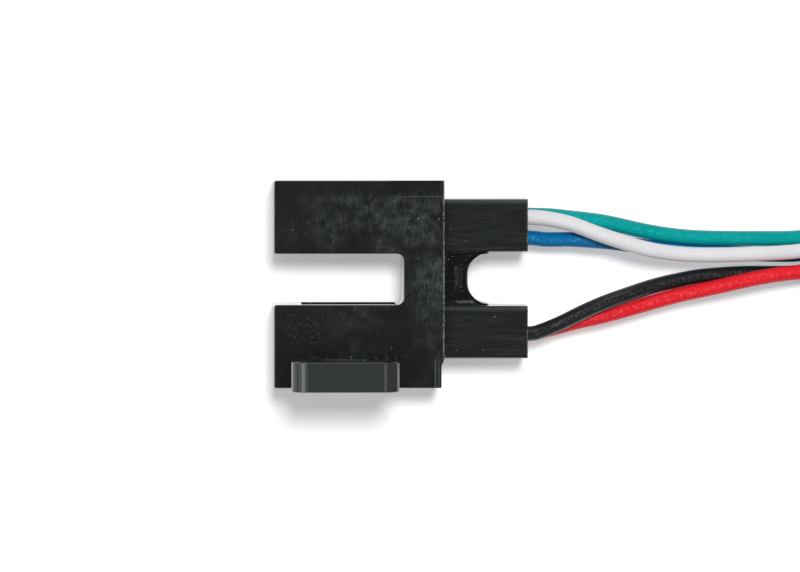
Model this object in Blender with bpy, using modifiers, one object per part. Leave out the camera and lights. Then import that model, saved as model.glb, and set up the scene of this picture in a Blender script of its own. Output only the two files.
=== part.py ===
"""A wired slotted optical switch: a moulded fork, an emitter and a sensor that face each other
across its slot, and five flying leads. It lies on its side. X runs from the mouth of the slot to the
leads, Y across the slot and Z up. The origin lies under the middle of the body, at the level of what
it rests on. All sizes are in metres."""

import math

import bmesh
import bpy
from mathutils import Matrix, Vector

MM = 0.001

# Moulded fork
SLOT_GAP = 3.18 * MM
SLOT_DEPTH = 8.05 * MM
SLOT_END_RADIUS = 0.42 * MM
FORK_LENGTH = 10.6 * MM
FORK_THICKNESS = 6.35 * MM
SENSOR_ARM = 4.54 * MM  # height of the arm at +Y
EMITTER_ARM = 5.17 * MM  # height of the arm at -Y
SIDE_WALL = 1.17 * MM  # outer wall of the sensor arm
LUG_WALL = 1.8 * MM  # outer wall of the emitter arm, which carries the lug
FRONT_BLOCK = 1.75 * MM  # solid tip of each arm
SIDE_SET_BACK = 0.02 * MM  # the side wall ends this far before the crossbar
LUG_SET_BACK = 0.2 * MM
CORNER_RADIUS = 0.14 * MM
EDGE_RADIUS = 0.07 * MM
STEP_LENGTH = 3.5 * MM  # the outer walls step down this far before their back ends
STEP_START = 0.025 * MM  # by this much
STEP_DEPTH = 0.08 * MM  # and reach this depth at the back

# Mounting lug
LUG_WIDTH = 6.6 * MM
LUG_RISE = 6.9 * MM
LUG_THICKNESS = 1.86 * MM
LUG_CORNER = 0.98 * MM
LUG_FROM_MOUTH = 4.28 * MM
LUG_HOLE = 3.2 * MM
LUG_INSET = 0.03 * MM
LUG_ROOT = 1.5 * MM  # depth that it runs down into the fork

# Shells of the emitter and the sensor
SHELL_REACH = 5.21 * MM  # how far they stand out behind the fork
SHELL_WIDTH = 3.27 * MM
SHELL_HEIGHT = 4.75 * MM
SHELL_WALL = 0.26 * MM
SHELL_EDGE = 0.22 * MM
SHELL_RECESS = 0.1 * MM  # the shells lie this far behind the walls of the slot
SLIT_HEIGHT = 1.52 * MM
SENSOR_SLIT = 0.3 * MM
EMITTER_SLIT = 1.27 * MM
FIT = 0.04 * MM  # clearance between neighbours
MARGIN = 1.0 * MM  # how far a cutter runs past the face that it opens

# Bead of epoxy between the shells
BEAD_REACH = 1.5 * MM
BEAD_RADIUS = 1.3 * MM
BEAD_HEIGHT = 3.9 * MM
BEAD_LIP = 0.1 * MM

# Emitter and sensor packages
PACKAGE_LENGTH = 3.6 * MM
PACKAGE_DEPTH = 1.5 * MM
PACKAGE_HEIGHT = 3.4 * MM
LENS_RADIUS = 0.75 * MM
LEAD_WIDTH = 0.42 * MM
LEAD_THICKNESS = 0.26 * MM
LEAD_LENGTH = 1.9 * MM
LEAD_SINK = 0.5 * MM
LEAD_SPAN = 2.3 * MM  # from the first lead to the last

# Joints, potting and wires
SOLDER_LENGTH = 1.5 * MM
SOLDER_RADIUS = 0.46 * MM
WIRE_DIAMETER = 0.94 * MM
STRANDS_DIAMETER = 0.48 * MM
JACKET_SINK = 0.4 * MM  # how far the jackets reach through the potting
POTTING_LENGTH = 2.4 * MM
POTTING_RECESS = 0.15 * MM

# Hank and its tie
HANK_START = 26.6 * MM
HANK_RUN = 35.0 * MM
HANK_CENTRE = -2.6 * MM
BUNDLE_DIAMETER = 2.56 * MM
HANK_BEND = 3.9 * MM  # radius of the inner turns, at the middle of the bundle
HANK_COLUMNS = 2
HANK_LAYERS = 3
HANK_PITCH = 2.62 * MM
TIE_WIDTH = 3.0 * MM
TIE_THICKNESS = 0.26 * MM

# Places that follow from the sizes
MIDDLE_Z = FORK_THICKNESS / 2
HALF_GAP = SLOT_GAP / 2
SLOT_Y = (EMITTER_ARM - SENSOR_ARM) / 2
TOP_Y = SLOT_Y + HALF_GAP + SENSOR_ARM
BOTTOM_Y = SLOT_Y - HALF_GAP - EMITTER_ARM
BAND_TOP_Y = TOP_Y - SIDE_WALL
BAND_BOTTOM_Y = BOTTOM_Y + LUG_WALL
MOUTH_X = -(FORK_LENGTH + SHELL_REACH) / 2
SLOT_END_X = MOUTH_X + SLOT_DEPTH
BACK_X = MOUTH_X + FORK_LENGTH
TAIL_X = BACK_X + SHELL_REACH
SHELL_X = MOUTH_X + FRONT_BLOCK + FIT
PACKAGE_X = SHELL_X + SHELL_WALL + FIT
AXIS_X = PACKAGE_X + PACKAGE_LENGTH / 2  # optical axis
LUG_X = MOUTH_X + LUG_FROM_MOUTH
LUG_TOP_Z = FORK_THICKNESS + LUG_RISE
SHELL_OFFSET = HALF_GAP + SHELL_RECESS + SHELL_WIDTH / 2
SENSOR_Y = SLOT_Y + SHELL_OFFSET
EMITTER_Y = SLOT_Y - SHELL_OFFSET
JACKET_X = TAIL_X - POTTING_RECESS - POTTING_LENGTH - JACKET_SINK

# Each wire: its name, its colour, the place of its exit in its shell, as shares of the free half width
# and half height, and the rest of its centreline in millimetres, from the exit to the hank. The wires
# are in the order of the leads that they join, from the lowest up.
SENSOR_WIRES = (
    ("blue", (0.02, 0.11, 0.42), (-1.0, -0.34), (
        (9.21, 2.73, 2.55), (10.80, 2.66, 2.15), (12.74, 2.51, 1.45), (14.15, 2.30, 1.00),
        (15.95, 2.03, 0.60), (18.49, 1.80, 0.49), (22.28, 1.73, 0.49), (25.45, 1.77, 0.49),
        (27.70, 2.35, 0.60))),
    ("green", (0.01, 0.20, 0.16), (0.71, -0.4), (
        (9.21, 4.20, 2.48), (10.17, 4.12, 2.30), (12.74, 3.72, 1.45), (15.31, 3.19, 0.70),
        (17.22, 2.91, 0.50), (19.12, 2.80, 0.49), (22.28, 2.76, 0.49), (25.44, 2.82, 0.49),
        (28.40, 3.50, 0.75))),
    ("white", (0.80, 0.80, 0.77), (0.6, 0.4), (
        (9.33, 4.00, 3.78), (10.72, 3.69, 3.55), (12.64, 3.05, 2.95), (15.21, 2.27, 2.05),
        (17.14, 1.91, 1.60), (19.04, 1.76, 1.47), (22.20, 1.81, 1.46), (25.35, 1.99, 1.46),
        (27.80, 2.62, 1.90))),
)
EMITTER_WIRES = (
    ("red", (0.42, 0.02, 0.02), (-0.28, -0.4), (
        (9.48, -2.95, 2.35), (11.14, -2.56, 1.85), (12.75, -2.25, 1.30), (14.37, -1.88, 0.75),
        (15.96, -1.46, 0.52), (17.54, -1.04, 0.49), (19.12, -0.68, 0.60), (20.36, -0.34, 0.96),
        (21.59, -0.02, 1.28), (22.84, 0.26, 1.43), (24.09, 0.48, 1.47), (25.36, 0.65, 1.47),
        (26.90, 1.03, 1.65))),
    ("black", (0.012, 0.012, 0.013), (-0.2, 0.4), (
        (8.83, -3.00, 3.76), (10.10, -2.48, 3.45), (11.39, -1.87, 2.95), (12.68, -1.33, 2.30),
        (14.32, -0.80, 1.45), (15.94, -0.36, 0.80), (17.54, 0.00, 0.54), (19.12, 0.30, 0.49),
        (21.65, 0.51, 0.49), (24.82, 0.58, 0.49), (26.90, 0.88, 0.60))),
)

part = bpy.data.collections.new("slotted_optical_switch")
cutters = bpy.data.collections.new("cutters")


def material(name, colour, roughness, metallic=0.0):
    """A plain Principled material, made once for each name."""
    found = bpy.data.materials.get(name)
    if found:
        return found
    made = bpy.data.materials.new(name)
    made.use_nodes = True
    shader = made.node_tree.nodes["Principled BSDF"]
    shader.inputs["Base Color"].default_value = (*colour, 1)
    shader.inputs["Roughness"].default_value = roughness
    shader.inputs["Metallic"].default_value = metallic
    return made


def add(name, mesh, finish=None):
    """Puts a mesh or a curve in the part as one named piece or, without a finish, among the cutters."""
    piece = bpy.data.objects.new(name, mesh)
    if finish:
        mesh.materials.append(finish)
        part.objects.link(piece)
    else:
        cutters.objects.link(piece)
        piece.hide_render = True
        piece.display_type = "WIRE"
    return piece


def box(name, x, y, z, finish=None):
    """A block between the given limits along each axis."""
    limits = (x, y, z)
    size = [high - low for low, high in limits]
    middle = Vector([(low + high) / 2 for low, high in limits])
    form = bmesh.new()
    bmesh.ops.create_cube(form, size=1, matrix=Matrix.Translation(middle) @ Matrix.Diagonal((*size, 1)))
    mesh = bpy.data.meshes.new(name)
    form.to_mesh(mesh)
    form.free()
    return add(name, mesh, finish)


def bore(name, x, y, z, radius):
    """A round cutter along X."""
    low, high = x
    place = Matrix.Translation(((low + high) / 2, y, z)) @ Matrix.Rotation(math.pi / 2, 4, "Y")
    form = bmesh.new()
    bmesh.ops.create_cone(form, cap_ends=True, segments=20, radius1=radius, radius2=radius,
                          depth=high - low, matrix=place)
    mesh = bpy.data.meshes.new(name)
    form.to_mesh(mesh)
    form.free()
    return add(name, mesh)


def arc(centre, radius, start, end, steps):
    """Points of an arc, with the angles in degrees."""
    angles = [math.radians(start + (end - start) * i / steps) for i in range(steps + 1)]
    return [(centre[0] + radius * math.cos(a), centre[1] + radius * math.sin(a)) for a in angles]


def plate(name, outlines, thickness, place, finish=None, rounding=0):
    """A flat shape from closed outlines, of which the later ones are holes, as a mesh of this thickness.

    The rounding is that of the rims of both faces."""
    curve = bpy.data.curves.new(name + "_outline", "CURVE")
    curve.dimensions = "2D"
    curve.fill_mode = "BOTH"
    curve.extrude = thickness / 2
    for outline in outlines:
        spline = curve.splines.new("POLY")
        spline.points.add(len(outline) - 1)
        for point, (x, y) in zip(spline.points, outline):
            point.co = (x, y, 0, 1)
        spline.use_cyclic_u = True
    guide = bpy.data.objects.new(name + "_outline", curve)
    bpy.context.scene.collection.objects.link(guide)
    graph = bpy.context.evaluated_depsgraph_get()
    mesh = bpy.data.meshes.new_from_object(guide.evaluated_get(graph))
    mesh.name = name
    bpy.data.objects.remove(guide)
    form = bmesh.new()
    form.from_mesh(mesh)
    bmesh.ops.remove_doubles(form, verts=form.verts, dist=0.001 * MM)
    bmesh.ops.dissolve_limit(form, angle_limit=math.radians(1), verts=form.verts, edges=form.edges)
    bmesh.ops.recalc_face_normals(form, faces=form.faces)
    rims = [edge for edge in form.edges
            if edge.calc_face_angle() > 1 and abs(edge.verts[0].co.z - edge.verts[1].co.z) < 0.001 * MM]
    if rounding:
        bmesh.ops.bevel(form, geom=rims, offset=rounding, segments=2, profile=0.5, affect="EDGES")
    form.to_mesh(mesh)
    form.free()
    piece = add(name, mesh, finish)
    piece.matrix_world = place
    return piece


def turned(name, profile, place, finish=None, steps=20):
    """A turned shape: a profile of radius and height, down its outer side, swept about its own Z."""
    mesh = bpy.data.meshes.new(name)
    last = len(profile) - 1
    closed = profile[0][0] > 0 and profile[-1][0] > 0
    edges = [(i, i + 1) for i in range(last)] + ([(last, 0)] if closed else [])
    mesh.from_pydata([(radius, 0, height) for radius, height in profile], edges, [])
    piece = add(name, mesh, finish)
    piece.matrix_world = place
    screw = piece.modifiers.new("Turn", "SCREW")
    screw.steps = screw.render_steps = steps
    screw.use_merge_vertices = True
    screw.merge_threshold = 0.001 * MM
    return piece


def through(points, spacing):
    """Points at about this spacing on a smooth curve through the given points."""
    ends = [2 * points[0] - points[1]] + list(points) + [2 * points[-1] - points[-2]]
    found = []
    for before, start, end, after in zip(ends, ends[1:], ends[2:], ends[3:]):
        count = max(1, round((end - start).length / spacing))
        for step in range(count):
            t = step / count
            slope = (end - before) * t + (2 * before - 5 * start + 4 * end - after) * t ** 2
            found.append(start + (slope + (3 * start - before - 3 * end + after) * t ** 3) / 2)
    return found + [points[-1]]


def tube(name, points, diameter, finish, spacing):
    """A round wire along a smooth curve through the points."""
    curve = bpy.data.curves.new(name, "CURVE")
    curve.dimensions = "3D"
    curve.bevel_depth = diameter / 2
    curve.bevel_resolution = 2
    curve.use_fill_caps = True
    route = through(points, spacing)
    spline = curve.splines.new("POLY")
    spline.points.add(len(route) - 1)
    for point, place in zip(spline.points, route):
        point.co = (*place, 1)
    return add(name, curve, finish)


def smooth(piece):
    piece.data.shade_smooth()
    piece.data.set_sharp_from_angle(angle=math.radians(40))


def bevel(piece, width, segments=2):
    rounding = piece.modifiers.new("Edges", "BEVEL")
    rounding.width = width
    rounding.segments = segments
    rounding.limit_method = "ANGLE"
    rounding.angle_limit = math.radians(40)


def combine(piece, other, operation="DIFFERENCE"):
    boolean = piece.modifiers.new(operation.title() + " " + other.name, "BOOLEAN")
    boolean.object = other
    boolean.operation = operation
    boolean.solver = "EXACT"


def around(middle, extent):
    return (middle - extent / 2, middle + extent / 2)


def fork_outline():
    """The fork seen from above, from the mouth end of the sensor arm round by its slot."""
    mouth, back, slot = MOUTH_X, BACK_X, SLOT_END_X
    slot_top, slot_bottom = SLOT_Y + HALF_GAP, SLOT_Y - HALF_GAP
    small, inner = CORNER_RADIUS, SLOT_END_RADIUS
    points = arc((mouth + small, slot_top + small), small, 270, 180, 3)
    points += arc((mouth + small, TOP_Y - small), small, 180, 90, 3)
    points += [(back - SIDE_SET_BACK, TOP_Y), (back - SIDE_SET_BACK, BAND_TOP_Y), (back, BAND_TOP_Y)]
    points += [(back, BAND_BOTTOM_Y), (back - LUG_SET_BACK, BAND_BOTTOM_Y - 2 * LUG_SET_BACK)]
    points += [(back - LUG_SET_BACK, BOTTOM_Y)]
    points += arc((mouth + small, BOTTOM_Y + small), small, 270, 180, 3)
    points += arc((mouth + small, slot_bottom - small), small, 180, 90, 3)
    points += arc((slot - inner, slot_bottom + inner), inner, 270, 360, 6)
    points += arc((slot - inner, slot_top - inner), inner, 0, 90, 6)
    return points


def lug_outline():
    """The lug seen from the side: straight flanks and a flat end with round corners."""
    half, crown = LUG_WIDTH / 2, LUG_TOP_Z - LUG_CORNER
    root = FORK_THICKNESS - LUG_ROOT
    points = [(LUG_X + half, root)] + arc((LUG_X + half - LUG_CORNER, crown), LUG_CORNER, 0, 90, 8)
    points += arc((LUG_X - half + LUG_CORNER, crown), LUG_CORNER, 90, 180, 8)
    return points + [(LUG_X - half, root)]


def step_cutter(name, low_y, high_y, side):
    """A tilted block that lowers an outer wall, from above (side 1) or from below (side -1)."""
    slab = box(name, (-STEP_LENGTH, MARGIN), (low_y, high_y), sorted((0, side * MARGIN)))
    tilt = Matrix.Rotation(side * math.atan2(STEP_DEPTH - STEP_START, STEP_LENGTH), 4, "Y")
    level = MIDDLE_Z + side * (FORK_THICKNESS / 2 - STEP_DEPTH)
    slab.matrix_world = Matrix.Translation((BACK_X, 0, level)) @ tilt
    return slab


def build_fork(finish):
    middle = Matrix.Translation((0, 0, MIDDLE_Z))
    fork = plate("fork_housing", [fork_outline()], FORK_THICKNESS, middle, finish, EDGE_RADIUS)
    for level, side in (("top", 1), ("bottom", -1)):
        combine(fork, step_cutter("sensor_step_" + level, BAND_TOP_Y, TOP_Y + MARGIN, side))
        combine(fork, step_cutter("emitter_step_" + level, BOTTOM_Y - MARGIN, BAND_BOTTOM_Y, side))
    hole = arc((LUG_X, LUG_TOP_Z - LUG_WIDTH / 2), LUG_HOLE / 2, 0, 360 - 360 / 32, 31)
    side_on = Matrix.Rotation(math.pi / 2, 4, "X")
    lug_y = BOTTOM_Y + LUG_INSET + LUG_THICKNESS / 2
    lug_place = Matrix.Translation((0, lug_y, 0)) @ side_on
    lug = plate("lug_blank", [lug_outline(), hole], LUG_THICKNESS, lug_place, None, EDGE_RADIUS)
    combine(fork, lug, "UNION")
    for label, side in (("sensor", 1), ("emitter", -1)):
        wall = SLOT_Y + side * HALF_GAP
        near = SLOT_Y + side * (HALF_GAP + SHELL_RECESS - FIT)
        far = SLOT_Y + side * (HALF_GAP + SHELL_RECESS + SHELL_WIDTH + FIT)
        height = around(MIDDLE_Z, SHELL_HEIGHT + 2 * FIT)
        front = MOUTH_X + FRONT_BLOCK
        pocket = box(label + "_pocket", (front, BACK_X + MARGIN), sorted((near, far)), height)
        combine(fork, pocket)
        across = sorted((wall - side * MARGIN, near + side * MARGIN))
        window = box(label + "_window", (front, SLOT_END_X - SLOT_END_RADIUS), across, height)
        combine(fork, window)
    smooth(fork)


def build_shell(label, y, side, slit_width, finish):
    """A square tube, closed at the front, with an upright slit in the wall that faces the slot."""
    width, height = around(y, SHELL_WIDTH), around(MIDDLE_Z, SHELL_HEIGHT)
    shell = box(label + "_shell", (SHELL_X, TAIL_X + MARGIN), width, height, finish)
    bevel(shell, SHELL_EDGE)
    sawn_off = box(label + "_tail", (TAIL_X, TAIL_X + 2 * MARGIN), around(y, 2 * SHELL_WIDTH),
                   around(MIDDLE_Z, 2 * SHELL_HEIGHT))
    combine(shell, sawn_off)
    inside = box(label + "_inside", (SHELL_X + SHELL_WALL, TAIL_X + 2 * MARGIN),
                 around(y, SHELL_WIDTH - 2 * SHELL_WALL), around(MIDDLE_Z, SHELL_HEIGHT - 2 * SHELL_WALL))
    combine(shell, inside)
    face = y - side * SHELL_WIDTH / 2
    slit = box(label + "_slit", around(AXIS_X, slit_width), around(face, 3 * SHELL_WALL),
               around(MIDDLE_Z, SLIT_HEIGHT))
    combine(shell, slit)


def build_package(label, y, side, count, finish, metal):
    """A side-looking package with a domed lens towards the slot, and its flat leads.

    Returns the leads' ends."""
    back = PACKAGE_X + PACKAGE_LENGTH
    lens_rise = LENS_RADIUS / 2
    body_face = y - side * (SHELL_WIDTH / 2 - SHELL_WALL - FIT - lens_rise)
    body_y = body_face + side * PACKAGE_DEPTH / 2
    package = box(label + "_package", (PACKAGE_X, back), around(body_y, PACKAGE_DEPTH),
                  around(MIDDLE_Z, PACKAGE_HEIGHT), finish)
    bevel(package, EDGE_RADIUS, 1)
    angles = [math.radians(22.5 * i) for i in range(1, 5)]
    dome = [(0, lens_rise)] + [(LENS_RADIUS * math.sin(t), lens_rise * math.cos(t)) for t in angles]
    dome += [(LENS_RADIUS, -PACKAGE_DEPTH / 2), (0, -PACKAGE_DEPTH / 2)]
    face_slot = Matrix.Rotation(side * math.pi / 2, 4, "X")
    lens = turned(label + "_lens", dome, Matrix.Translation((AXIS_X, body_face, MIDDLE_Z)) @ face_slot)
    combine(package, lens, "UNION")
    ends = []
    for number in range(count):
        z = MIDDLE_Z + (number - (count - 1) / 2) * LEAD_SPAN / (count - 1)
        socket = box(f"{label}_socket_{number + 1}", (back - LEAD_SINK, back + MARGIN),
                     around(body_y, LEAD_THICKNESS + 2 * FIT), around(z, LEAD_WIDTH + 2 * FIT))
        combine(package, socket)
        box(f"{label}_lead_{number + 1}", (back - LEAD_SINK + FIT, back + LEAD_LENGTH),
            around(body_y, LEAD_THICKNESS), around(z, LEAD_WIDTH), metal)
        ends.append(Vector((back + LEAD_LENGTH, body_y, z)))
    return ends


def exit_place(shell_y, shares):
    """Where a wire leaves its shell, across and up."""
    taken = SHELL_WALL + 2 * FIT + WIRE_DIAMETER / 2
    across, up = shares
    return shell_y + across * (SHELL_WIDTH / 2 - taken), MIDDLE_Z + up * (SHELL_HEIGHT / 2 - taken)


def build_joint(name, lead_end, place, finish, copper):
    """The sleeve of solder over a lead's end, and the bare strands from it to the wire's jacket."""
    inner = max(math.hypot(LEAD_WIDTH, LEAD_THICKNESS), STRANDS_DIAMETER) / 2 + FIT
    half, rim = SOLDER_LENGTH / 2, (inner + SOLDER_RADIUS) / 2
    sleeve = [(rim, half), (SOLDER_RADIUS, half / 2), (SOLDER_RADIUS, -half / 2), (rim, -half)]
    sleeve += [(inner, -half), (inner, half)]
    along = Matrix.Translation(lead_end) @ Matrix.Rotation(math.pi / 2, 4, "Y")
    smooth(turned(name + "_solder", sleeve, along, finish, 14))
    along_x = Vector((1, 0, 0))
    start = lead_end + FIT * along_x
    leave = lead_end + (half + STRANDS_DIAMETER) * along_x
    meet = Vector((JACKET_X - FIT, *place))
    route = (start, leave, meet - STRANDS_DIAMETER * along_x, meet)
    tube(name + "_strands", route, STRANDS_DIAMETER, copper, STRANDS_DIAMETER)


def build_potting(label, y, places, finish):
    """The cast plug that closes the shell and holds the jackets."""
    back = TAIL_X - POTTING_RECESS
    taken = 2 * SHELL_WALL + 2 * FIT
    plug = box(label + "_potting", (back - POTTING_LENGTH, back), around(y, SHELL_WIDTH - taken),
               around(MIDDLE_Z, SHELL_HEIGHT - taken), finish)
    length = (back - POTTING_LENGTH - MARGIN, back + MARGIN)
    for place in places:
        combine(plug, bore(label + "_passage", length, *place, WIRE_DIAMETER / 2 + FIT))


def build_jacket(name, place, route, finish):
    """An insulated wire from inside the potting to the hank."""
    points = [Vector((JACKET_X, *place)), Vector((TAIL_X, *place))] + [Vector(point) * MM for point in route]
    tube(name + "_wire", points, WIRE_DIAMETER, finish, 2.4 * WIRE_DIAMETER)


def build_bead(finish):
    """Cast epoxy between the shells, drawn up along both of them into a round notch."""
    half = HALF_GAP + SHELL_RECESS - FIT
    notch_x = BACK_X + BEAD_REACH + BEAD_RADIUS
    rise = half - BEAD_LIP - BEAD_RADIUS
    outline = [(BACK_X + FIT, SLOT_Y - half), (notch_x, SLOT_Y - half)]
    outline += arc((notch_x, SLOT_Y - rise), BEAD_RADIUS, 270, 180, 10)
    outline += arc((notch_x, SLOT_Y + rise), BEAD_RADIUS, 180, 90, 10)
    outline += [(notch_x, SLOT_Y + half), (BACK_X + FIT, SLOT_Y + half)]
    smooth(plate("epoxy_bead", [outline], BEAD_HEIGHT, Matrix.Translation((0, 0, MIDDLE_Z)), finish))


def rounded_rectangle(width, height, radius, middle):
    points = []
    for corner, (x, y) in enumerate(((1, 1), (-1, 1), (-1, -1), (1, -1))):
        centre = (middle[0] + x * (width / 2 - radius), middle[1] + y * (height / 2 - radius))
        points += arc(centre, radius, 90 * corner, 90 * corner + 90, 5)
    return points


def build_hank(finish, tie_finish):
    """The stored length of all five wires as one oblong form, with a band round its middle."""
    radius = HANK_BEND + (HANK_COLUMNS - 1) * HANK_PITCH + BUNDLE_DIAMETER / 2
    height = (HANK_LAYERS - 1) * HANK_PITCH + BUNDLE_DIAMETER
    near, far = HANK_START + radius, HANK_START + radius + HANK_RUN
    outline = arc((near, HANK_CENTRE), radius, 90, 270, 16)
    outline += arc((far, HANK_CENTRE), radius, -90, 90, 16)
    base = TIE_THICKNESS + FIT
    smooth(plate("wire_hank", [outline], height, Matrix.Translation((0, 0, base + height / 2)), finish))
    inner = (2 * radius + 2 * FIT, height + 2 * FIT)
    outer = [side + 2 * TIE_THICKNESS for side in inner]
    middle = (HANK_CENTRE, base + height / 2)
    upright = Matrix(((0, 0, 1, (near + far) / 2), (1, 0, 0, 0), (0, 1, 0, 0), (0, 0, 0, 1)))
    bands = [rounded_rectangle(*outer, TIE_THICKNESS + FIT, middle)]
    bands.append(rounded_rectangle(*inner, FIT, middle))
    smooth(plate("hank_tie", bands, TIE_WIDTH, upright, tie_finish))


def main():
    for old in list(bpy.data.objects):
        bpy.data.objects.remove(old)
    bpy.context.scene.collection.children.link(part)
    bpy.context.scene.collection.children.link(cutters)
    black_plastic = material("moulded_black", (0.014, 0.018, 0.018), 0.45)
    epoxy = material("black_epoxy", (0.008, 0.009, 0.010), 0.15)
    tinned = material("tinned_copper", (0.72, 0.71, 0.68), 0.3, 1.0)
    solder = material("solder", (0.62, 0.62, 0.63), 0.25, 1.0)
    smoke = material("infrared_epoxy", (0.03, 0.02, 0.04), 0.1)
    clear = material("water_clear_epoxy", (0.55, 0.55, 0.6), 0.08)
    build_fork(black_plastic)
    build_bead(epoxy)
    halves = (("sensor", SENSOR_Y, 1, SENSOR_SLIT, SENSOR_WIRES, smoke),
              ("emitter", EMITTER_Y, -1, EMITTER_SLIT, EMITTER_WIRES, clear))
    for label, y, side, slit_width, wires, package_finish in halves:
        build_shell(label, y, side, slit_width, black_plastic)
        ends = build_package(label, y, side, len(wires), package_finish, tinned)
        places = [exit_place(y, shares) for _, _, shares, _ in wires]
        build_potting(label, y, places, epoxy)
        for (name, colour, _, route), end, place in zip(wires, ends, places):
            build_joint(name, end, place, solder, tinned)
            build_jacket(name, place, route, material(name + "_insulation", colour, 0.35))
    tie_plastic = material("tie_plastic", (0.02, 0.02, 0.021), 0.5)
    build_hank(bpy.data.materials["white_insulation"], tie_plastic)


main()
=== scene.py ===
# %% [markdown]
# # A wired slotted optical switch, dressed for its picture
#
# The object is a small black fork, moulded in one piece. An infrared emitter sits in one arm and a
# sensor in the other, and both look across the slot. Five thin wires leave the back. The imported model
# holds the true sizes, so this lesson starts from it and adds what the eye wants: real surfaces, wires
# that lie loose, a bead of epoxy that looks poured, light, a floor and a camera.

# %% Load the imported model
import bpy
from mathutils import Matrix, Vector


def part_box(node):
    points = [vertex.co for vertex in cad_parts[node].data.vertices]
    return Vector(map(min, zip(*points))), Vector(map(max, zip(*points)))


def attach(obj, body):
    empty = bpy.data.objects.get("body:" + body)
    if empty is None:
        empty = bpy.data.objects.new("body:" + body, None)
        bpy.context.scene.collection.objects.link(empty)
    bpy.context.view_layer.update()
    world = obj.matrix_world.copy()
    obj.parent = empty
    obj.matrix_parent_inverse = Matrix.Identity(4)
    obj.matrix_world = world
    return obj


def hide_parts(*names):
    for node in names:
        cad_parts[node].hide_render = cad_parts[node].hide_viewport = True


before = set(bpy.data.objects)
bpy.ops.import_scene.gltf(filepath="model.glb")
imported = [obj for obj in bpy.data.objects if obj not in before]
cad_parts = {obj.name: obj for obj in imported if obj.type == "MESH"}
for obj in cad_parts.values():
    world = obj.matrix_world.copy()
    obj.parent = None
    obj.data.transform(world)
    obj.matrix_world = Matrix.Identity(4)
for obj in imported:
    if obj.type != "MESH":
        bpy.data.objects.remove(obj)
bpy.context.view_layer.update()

import math

import bmesh
import bpy
import numpy as np
from mathutils import Matrix, Vector

MM = 0.001

# %% [markdown]
# ## The camera
#
# The photograph looks almost straight down. A long lens from 0.4 m away gives the same faint
# perspective: the near end of the lug shows a little larger than its root, and no side wall shows but
# a sliver. The camera leans 2 degrees to the left and 1.7 degrees to the top of the picture.

# %% Place the camera
LOOKS_AT = Vector((-0.09, -0.10, 6.35)) * MM
DISTANCE = 400 * MM
PICTURE_WIDTH = 800  # pixels
PIXELS_PER_MM = 16.11
SEEN_WIDTH = PICTURE_WIDTH / PIXELS_PER_MM * MM
LEAN_LEFT, LEAN_UP = 2.0, 1.7  # degrees off the vertical
SENSOR_WIDTH = 36  # millimetres, as Blender's own cameras have


def camera_facing(lean_left, lean_up):
    """A camera's place, looking down from a point that lies this many degrees off the vertical."""
    back = Vector((-math.tan(math.radians(lean_left)), math.tan(math.radians(lean_up)), 1)).normalized()
    right = Vector((0, 1, 0)).cross(back).normalized()
    turn = Matrix((right, back.cross(right), back)).transposed()
    return Matrix.Translation(LOOKS_AT + DISTANCE * back) @ turn.to_4x4()


camera = bpy.data.objects.new("camera", bpy.data.cameras.new("camera"))
camera.data.sensor_width = SENSOR_WIDTH
camera.data.lens = SENSOR_WIDTH * DISTANCE / SEEN_WIDTH
camera.data.clip_start, camera.data.clip_end = 0.01, 10
camera.matrix_world = camera_facing(LEAN_LEFT, LEAN_UP)
bpy.context.scene.collection.objects.link(camera)
bpy.context.scene.camera = camera
print("lens", round(camera.data.lens, 1), "mm at", [round(c * 1000) for c in camera.location], "mm")

# %% [markdown]
# ## The wires
#
# Each lead is PVC hook-up wire, 0.94 mm thick and 610 mm long, as such switches have. Only its first
# 17 mm are in the picture. A curve object is the natural choice: a line through a few points with a
# round bevel. The rest of the length is put away as for a shelf. The five wires gather into one
# gently twisted bundle, which is wound on itself in two columns and three layers and held by a tie.

# %% A smooth line through points
WIRE_DIAMETER = 0.94 * MM
WIRE_LENGTH = 610 * MM


def smooth_line(points, spacing):
    """Reads points at about this spacing from a smooth curve that passes through the given ones."""
    points = [Vector(point) for point in points]
    ends = [2 * points[0] - points[1]] + points + [2 * points[-1] - points[-2]]
    found = []
    for before, start, end, after in zip(ends, ends[1:], ends[2:], ends[3:]):
        count = max(1, round((end - start).length / spacing))
        for step in range(count):
            t = step / count
            slope = (end - before) * t + (2 * before - 5 * start + 4 * end - after) * t ** 2
            found.append(start + (slope + (3 * start - before - 3 * end + after) * t ** 3) / 2)
    return found + [points[-1]]


def line_length(points):
    return sum((b - a).length for a, b in zip(points, points[1:]))


print("a straight line measures", round(line_length(smooth_line([(0, 0, 0), (0, 0, 1)], 0.1)), 3))

# %% [markdown]
# The hank is one oblong winding. The bundle goes round and round: five full turns and a half. While a
# turn runs back along the far side it changes its place, inward, up or outward, so that no turn cuts
# through another. Each change starts a little after the one above it, as they would push each other.

# %% The middle line of the wound bundle
BUNDLE_RADIUS = 1.28 * MM
TURN_PITCH = 2.62 * MM
INNER_BEND = 3.9 * MM
HANK_LOW, HANK_HIGH = (Vector(corner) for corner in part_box("wire_hank"))
OUTER_BEND = INNER_BEND + TURN_PITCH
NEAR_X = HANK_LOW.x + OUTER_BEND + BUNDLE_RADIUS
FAR_X = HANK_HIGH.x - OUTER_BEND - BUNDLE_RADIUS
HANK_Y = (HANK_LOW.y + HANK_HIGH.y) / 2
FIRST_Z = HANK_LOW.z + BUNDLE_RADIUS
TURNS = ((1, 0), (0, 0), (0, 1), (1, 1), (1, 2), (0, 2))  # each turn's column, outer is 1, and layer
CHANGE_START = 3.5 * MM
CHANGE_LENGTH = 15 * MM
CHANGE_LAG = 0.27  # share of a change's length by which each turn waits for the one wound after it
STRETCH_STEPS = 24  # points along each straight run and each bend
TUCKED_STEPS = 6  # the last points, a millimetre apart, where the bundle ends


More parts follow.
